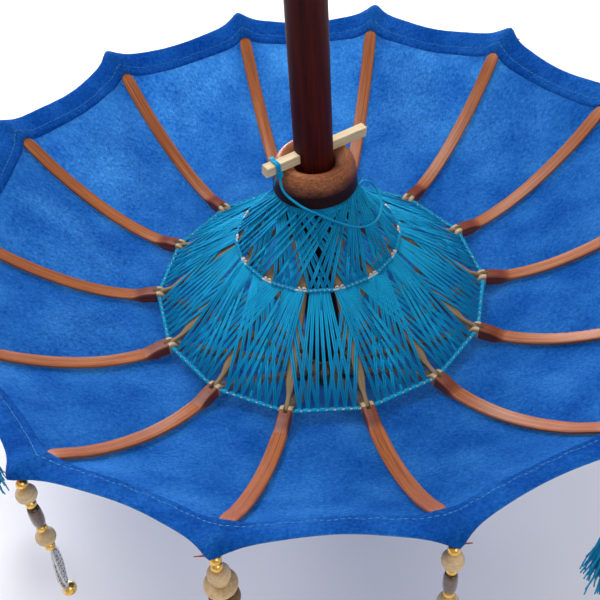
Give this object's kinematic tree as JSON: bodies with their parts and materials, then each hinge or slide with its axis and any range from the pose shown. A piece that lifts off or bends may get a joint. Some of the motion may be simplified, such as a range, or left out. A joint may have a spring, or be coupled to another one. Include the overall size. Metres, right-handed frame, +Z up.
{
  "type": "small ceremonial umbrella",
  "caption": "Small folding ceremonial umbrella with a cloth canopy, wooden ribs and stretchers, a thread net, a sliding runner, a lock peg and beaded rim tassels.",
  "frame": {"origin": "lowest point of the crown finial, on the pole axis; the umbrella is shown open with its crown down", "axes": "+Z runs up the pole from the crown to the free end, -Y is the front bay, +X is to the right seen from the front"},
  "size_m": [0.4127, 0.4072, 0.576],
  "materials": {
    "dark_wood": "dark red-brown varnish",
    "turned_wood": "red-brown stain, matt",
    "stained_bamboo": "red-brown stain, satin",
    "raw_bamboo": "bare",
    "peg_wood": "bare",
    "blue_cloth": "plain weave",
    "blue_thread": "twisted cotton",
    "white_cord": "twisted cotton",
    "tan_cord": "twisted fibre",
    "bead_string": "beads on thread"
  },
  "bodies": {
    "frame_pole": {"pole": "dark_wood", "crown_hub": "raw_bamboo", "hub_cord": "white_cord", "crown_cap": "turned_wood", "finial": "turned_wood", "canopy": "blue_cloth", "outer_net": "blue_thread", "inner_net": "blue_thread", "outer_ring_cord": "white_cord", "inner_ring_cord": "white_cord"},
    "rib_01": {"rib_01": "stained_bamboo"},
    "rib_02": {"rib_02": "stained_bamboo"},
    "rib_03": {"rib_03": "stained_bamboo"},
    "rib_04": {"rib_04": "stained_bamboo"},
    "rib_05": {"rib_05": "stained_bamboo"},
    "rib_06": {"rib_06": "stained_bamboo"},
    "rib_07": {"rib_07": "stained_bamboo"},
    "rib_08": {"rib_08": "stained_bamboo"},
    "rib_09": {"rib_09": "stained_bamboo"},
    "rib_10": {"rib_10": "stained_bamboo"},
    "rib_11": {"rib_11": "stained_bamboo"},
    "rib_12": {"rib_12": "stained_bamboo"},
    "rib_13": {"rib_13": "stained_bamboo"},
    "rib_14": {"rib_14": "stained_bamboo"},
    "stretcher_01": {"stretcher_01": "raw_bamboo"},
    "stretcher_02": {"stretcher_02": "raw_bamboo"},
    "stretcher_03": {"stretcher_03": "raw_bamboo"},
    "stretcher_04": {"stretcher_04": "raw_bamboo"},
    "stretcher_05": {"stretcher_05": "raw_bamboo"},
    "stretcher_06": {"stretcher_06": "raw_bamboo"},
    "stretcher_07": {"stretcher_07": "raw_bamboo"},
    "stretcher_08": {"stretcher_08": "raw_bamboo"},
    "stretcher_09": {"stretcher_09": "raw_bamboo"},
    "stretcher_10": {"stretcher_10": "raw_bamboo"},
    "stretcher_11": {"stretcher_11": "raw_bamboo"},
    "stretcher_12": {"stretcher_12": "raw_bamboo"},
    "stretcher_13": {"stretcher_13": "raw_bamboo"},
    "stretcher_14": {"stretcher_14": "raw_bamboo"},
    "runner": {"runner": "turned_wood", "runner_cord": "white_cord", "runner_binding": "tan_cord", "peg_cord": "blue_thread"},
    "lock_peg": {"lock_peg": "peg_wood"},
    "tassel_01": {"tassel_01": "bead_string"},
    "tassel_02": {"tassel_02": "bead_string"},
    "tassel_03": {"tassel_03": "bead_string"},
    "tassel_04": {"tassel_04": "bead_string"},
    "tassel_05": {"tassel_05": "bead_string"},
    "tassel_06": {"tassel_06": "bead_string"},
    "tassel_07": {"tassel_07": "bead_string"},
    "tassel_08": {"tassel_08": "bead_string"},
    "tassel_09": {"tassel_09": "bead_string"},
    "tassel_10": {"tassel_10": "bead_string"},
    "tassel_11": {"tassel_11": "bead_string"},
    "tassel_12": {"tassel_12": "bead_string"},
    "tassel_13": {"tassel_13": "bead_string"},
    "tassel_14": {"tassel_14": "bead_string"}
  },
  "joints": [
    {"name": "fold", "type": "hinge", "parent": "frame_pole", "child": "rib_01", "pos_m": [0.00294, -0.01287, 0.0368], "axis": [-0.9749, -0.2225, 0], "range_deg": [0, 48.5], "deforming": ["canopy", "outer_net", "inner_net", "outer_ring_cord", "inner_ring_cord", "peg_cord", "lock_peg"]},
    {"name": "rib_02_hinge", "type": "hinge", "parent": "frame_pole", "child": "rib_02", "pos_m": [0.00823, -0.01032, 0.0368], "axis": [-0.7818, -0.6235, 0], "range_deg": [0, 48.5]},
    {"name": "rib_03_hinge", "type": "hinge", "parent": "frame_pole", "child": "rib_03", "pos_m": [0.01189, -0.00573, 0.0368], "axis": [-0.4339, -0.901, 0], "range_deg": [0, 48.5]},
    {"name": "rib_04_hinge", "type": "hinge", "parent": "frame_pole", "child": "rib_04", "pos_m": [0.0132, 0, 0.0368], "axis": [0, -1, 0], "range_deg": [0, 48.5]},
    {"name": "rib_05_hinge", "type": "hinge", "parent": "frame_pole", "child": "rib_05", "pos_m": [0.01189, 0.00573, 0.0368], "axis": [0.4339, -0.901, 0], "range_deg": [0, 48.5]},
    {"name": "rib_06_hinge", "type": "hinge", "parent": "frame_pole", "child": "rib_06", "pos_m": [0.00823, 0.01032, 0.0368], "axis": [0.7818, -0.6235, 0], "range_deg": [0, 48.5]},
    {"name": "rib_07_hinge", "type": "hinge", "parent": "frame_pole", "child": "rib_07", "pos_m": [0.00294, 0.01287, 0.0368], "axis": [0.9749, -0.2225, 0], "range_deg": [0, 48.5]},
    {"name": "rib_08_hinge", "type": "hinge", "parent": "frame_pole", "child": "rib_08", "pos_m": [-0.00294, 0.01287, 0.0368], "axis": [0.9749, 0.2225, 0], "range_deg": [0, 48.5]},
    {"name": "rib_09_hinge", "type": "hinge", "parent": "frame_pole", "child": "rib_09", "pos_m": [-0.00823, 0.01032, 0.0368], "axis": [0.7818, 0.6235, 0], "range_deg": [0, 48.5]},
    {"name": "rib_10_hinge", "type": "hinge", "parent": "frame_pole", "child": "rib_10", "pos_m": [-0.01189, 0.00573, 0.0368], "axis": [0.4339, 0.901, 0], "range_deg": [0, 48.5]},
    {"name": "rib_11_hinge", "type": "hinge", "parent": "frame_pole", "child": "rib_11", "pos_m": [-0.0132, 0, 0.0368], "axis": [0, 1, 0], "range_deg": [0, 48.5]},
    {"name": "rib_12_hinge", "type": "hinge", "parent": "frame_pole", "child": "rib_12", "pos_m": [-0.01189, -0.00573, 0.0368], "axis": [-0.4339, 0.901, 0], "range_deg": [0, 48.5]},
    {"name": "rib_13_hinge", "type": "hinge", "parent": "frame_pole", "child": "rib_13", "pos_m": [-0.00823, -0.01032, 0.0368], "axis": [-0.7818, 0.6235, 0], "range_deg": [0, 48.5]},
    {"name": "rib_14_hinge", "type": "hinge", "parent": "frame_pole", "child": "rib_14", "pos_m": [-0.00294, -0.01287, 0.0368], "axis": [-0.9749, 0.2225, 0], "range_deg": [0, 48.5]},
    {"name": "stretcher_01_hinge", "type": "hinge", "parent": "rib_01", "child": "stretcher_01", "pos_m": [0.01958, -0.08579, 0.096], "axis": [-0.9749, -0.2225, 0], "range_deg": [-97, 0]},
    {"name": "stretcher_02_hinge", "type": "hinge", "parent": "rib_02", "child": "stretcher_02", "pos_m": [0.05487, -0.0688, 0.096], "axis": [-0.7818, -0.6235, 0], "range_deg": [-97, 0]},
    {"name": "stretcher_03_hinge", "type": "hinge", "parent": "rib_03", "child": "stretcher_03", "pos_m": [0.07929, -0.03818, 0.096], "axis": [-0.4339, -0.901, 0], "range_deg": [-97, 0]},
    {"name": "stretcher_04_hinge", "type": "hinge", "parent": "rib_04", "child": "stretcher_04", "pos_m": [0.088, 0, 0.096], "axis": [0, -1, 0], "range_deg": [-97, 0]},
    {"name": "stretcher_05_hinge", "type": "hinge", "parent": "rib_05", "child": "stretcher_05", "pos_m": [0.07929, 0.03818, 0.096], "axis": [0.4339, -0.901, 0], "range_deg": [-97, 0]},
    {"name": "stretcher_06_hinge", "type": "hinge", "parent": "rib_06", "child": "stretcher_06", "pos_m": [0.05487, 0.0688, 0.096], "axis": [0.7818, -0.6235, 0], "range_deg": [-97, 0]},
    {"name": "stretcher_07_hinge", "type": "hinge", "parent": "rib_07", "child": "stretcher_07", "pos_m": [0.01958, 0.08579, 0.096], "axis": [0.9749, -0.2225, 0], "range_deg": [-97, 0]},
    {"name": "stretcher_08_hinge", "type": "hinge", "parent": "rib_08", "child": "stretcher_08", "pos_m": [-0.01958, 0.08579, 0.096], "axis": [0.9749, 0.2225, 0], "range_deg": [-97, 0]},
    {"name": "stretcher_09_hinge", "type": "hinge", "parent": "rib_09", "child": "stretcher_09", "pos_m": [-0.05487, 0.0688, 0.096], "axis": [0.7818, 0.6235, 0], "range_deg": [-97, 0]},
    {"name": "stretcher_10_hinge", "type": "hinge", "parent": "rib_10", "child": "stretcher_10", "pos_m": [-0.07929, 0.03818, 0.096], "axis": [0.4339, 0.901, 0], "range_deg": [-97, 0]},
    {"name": "stretcher_11_hinge", "type": "hinge", "parent": "rib_11", "child": "stretcher_11", "pos_m": [-0.088, 0, 0.096], "axis": [0, 1, 0], "range_deg": [-97, 0]},
    {"name": "stretcher_12_hinge", "type": "hinge", "parent": "rib_12", "child": "stretcher_12", "pos_m": [-0.07929, -0.03818, 0.096], "axis": [-0.4339, 0.901, 0], "range_deg": [-97, 0]},
    {"name": "stretcher_13_hinge", "type": "hinge", "parent": "rib_13", "child": "stretcher_13", "pos_m": [-0.05487, -0.0688, 0.096], "axis": [-0.7818, 0.6235, 0], "range_deg": [-97, 0]},
    {"name": "stretcher_14_hinge", "type": "hinge", "parent": "rib_14", "child": "stretcher_14", "pos_m": [-0.01958, -0.08579, 0.096], "axis": [-0.9749, 0.2225, 0], "range_deg": [-97, 0]},
    {"name": "runner_hinge", "type": "hinge", "parent": "stretcher_01", "child": "runner", "pos_m": [0.00294, -0.01287, 0.1552], "axis": [-0.9749, -0.2225, 0], "range_deg": [0, 48.5]},
    {"name": "tassel_01_hinge", "type": "hinge", "parent": "rib_01", "child": "tassel_01", "pos_m": [0.04397, -0.19265, 0.1536], "axis": [-0.9749, -0.2225, 0], "range_deg": [-38.8, 0]},
    {"name": "tassel_02_hinge", "type": "hinge", "parent": "rib_02", "child": "tassel_02", "pos_m": [0.1232, -0.15449, 0.1536], "axis": [-0.7818, -0.6235, 0], "range_deg": [-38.8, 0]},
    {"name": "tassel_03_hinge", "type": "hinge", "parent": "rib_03", "child": "tassel_03", "pos_m": [0.17803, -0.08574, 0.1536], "axis": [-0.4339, -0.901, 0], "range_deg": [-38.8, 0]},
    {"name": "tassel_04_hinge", "type": "hinge", "parent": "rib_04", "child": "tassel_04", "pos_m": [0.1976, 0, 0.1536], "axis": [0, -1, 0], "range_deg": [-38.8, 0]},
    {"name": "tassel_05_hinge", "type": "hinge", "parent": "rib_05", "child": "tassel_05", "pos_m": [0.17803, 0.08574, 0.1536], "axis": [0.4339, -0.901, 0], "range_deg": [-38.8, 0]},
    {"name": "tassel_06_hinge", "type": "hinge", "parent": "rib_06", "child": "tassel_06", "pos_m": [0.1232, 0.15449, 0.1536], "axis": [0.7818, -0.6235, 0], "range_deg": [-38.8, 0]},
    {"name": "tassel_07_hinge", "type": "hinge", "parent": "rib_07", "child": "tassel_07", "pos_m": [0.04397, 0.19265, 0.1536], "axis": [0.9749, -0.2225, 0], "range_deg": [-38.8, 0]},
    {"name": "tassel_08_hinge", "type": "hinge", "parent": "rib_08", "child": "tassel_08", "pos_m": [-0.04397, 0.19265, 0.1536], "axis": [0.9749, 0.2225, 0], "range_deg": [-38.8, 0]},
    {"name": "tassel_09_hinge", "type": "hinge", "parent": "rib_09", "child": "tassel_09", "pos_m": [-0.1232, 0.15449, 0.1536], "axis": [0.7818, 0.6235, 0], "range_deg": [-38.8, 0]},
    {"name": "tassel_10_hinge", "type": "hinge", "parent": "rib_10", "child": "tassel_10", "pos_m": [-0.17803, 0.08574, 0.1536], "axis": [0.4339, 0.901, 0], "range_deg": [-38.8, 0]},
    {"name": "tassel_11_hinge", "type": "hinge", "parent": "rib_11", "child": "tassel_11", "pos_m": [-0.1976, 0, 0.1536], "axis": [0, 1, 0], "range_deg": [-38.8, 0]},
    {"name": "tassel_12_hinge", "type": "hinge", "parent": "rib_12", "child": "tassel_12", "pos_m": [-0.17803, -0.08574, 0.1536], "axis": [-0.4339, 0.901, 0], "range_deg": [-38.8, 0]},
    {"name": "tassel_13_hinge", "type": "hinge", "parent": "rib_13", "child": "tassel_13", "pos_m": [-0.1232, -0.15449, 0.1536], "axis": [-0.7818, 0.6235, 0], "range_deg": [-38.8, 0]},
    {"name": "tassel_14_hinge", "type": "hinge", "parent": "rib_14", "child": "tassel_14", "pos_m": [-0.04397, -0.19265, 0.1536], "axis": [-0.9749, 0.2225, 0], "range_deg": [-38.8, 0]},
    {"name": "lock_peg_slide", "type": "slide", "parent": "runner", "child": "lock_peg", "axis": [-0.8563, -0.5165, 0], "range_m": [0, 0.045], "deforming": ["peg_cord"]}
  ],
  "couplings": [
    {"joint": "rib_02_hinge", "follows": "fold", "ratio": 1},
    {"joint": "rib_03_hinge", "follows": "fold", "ratio": 1},
    {"joint": "rib_04_hinge", "follows": "fold", "ratio": 1},
    {"joint": "rib_05_hinge", "follows": "fold", "ratio": 1},
    {"joint": "rib_06_hinge", "follows": "fold", "ratio": 1},
    {"joint": "rib_07_hinge", "follows": "fold", "ratio": 1},
    {"joint": "rib_08_hinge", "follows": "fold", "ratio": 1},
    {"joint": "rib_09_hinge", "follows": "fold", "ratio": 1},
    {"joint": "rib_10_hinge", "follows": "fold", "ratio": 1},
    {"joint": "rib_11_hinge", "follows": "fold", "ratio": 1},
    {"joint": "rib_12_hinge", "follows": "fold", "ratio": 1},
    {"joint": "rib_13_hinge", "follows": "fold", "ratio": 1},
    {"joint": "rib_14_hinge", "follows": "fold", "ratio": 1},
    {"joint": "stretcher_01_hinge", "follows": "fold", "ratio": -2},
    {"joint": "stretcher_02_hinge", "follows": "fold", "ratio": -2},
    {"joint": "stretcher_03_hinge", "follows": "fold", "ratio": -2},
    {"joint": "stretcher_04_hinge", "follows": "fold", "ratio": -2},
    {"joint": "stretcher_05_hinge", "follows": "fold", "ratio": -2},
    {"joint": "stretcher_06_hinge", "follows": "fold", "ratio": -2},
    {"joint": "stretcher_07_hinge", "follows": "fold", "ratio": -2},
    {"joint": "stretcher_08_hinge", "follows": "fold", "ratio": -2},
    {"joint": "stretcher_09_hinge", "follows": "fold", "ratio": -2},
    {"joint": "stretcher_10_hinge", "follows": "fold", "ratio": -2},
    {"joint": "stretcher_11_hinge", "follows": "fold", "ratio": -2},
    {"joint": "stretcher_12_hinge", "follows": "fold", "ratio": -2},
    {"joint": "stretcher_13_hinge", "follows": "fold", "ratio": -2},
    {"joint": "stretcher_14_hinge", "follows": "fold", "ratio": -2},
    {"joint": "runner_hinge", "follows": "fold", "ratio": 1},
    {"joint": "tassel_01_hinge", "follows": "fold", "ratio": -0.8},
    {"joint": "tassel_02_hinge", "follows": "fold", "ratio": -0.8},
    {"joint": "tassel_03_hinge", "follows": "fold", "ratio": -0.8},
    {"joint": "tassel_04_hinge", "follows": "fold", "ratio": -0.8},
    {"joint": "tassel_05_hinge", "follows": "fold", "ratio": -0.8},
    {"joint": "tassel_06_hinge", "follows": "fold", "ratio": -0.8},
    {"joint": "tassel_07_hinge", "follows": "fold", "ratio": -0.8},
    {"joint": "tassel_08_hinge", "follows": "fold", "ratio": -0.8},
    {"joint": "tassel_09_hinge", "follows": "fold", "ratio": -0.8},
    {"joint": "tassel_10_hinge", "follows": "fold", "ratio": -0.8},
    {"joint": "tassel_11_hinge", "follows": "fold", "ratio": -0.8},
    {"joint": "tassel_12_hinge", "follows": "fold", "ratio": -0.8},
    {"joint": "tassel_13_hinge", "follows": "fold", "ratio": -0.8},
    {"joint": "tassel_14_hinge", "follows": "fold", "ratio": -0.8}
  ]
}
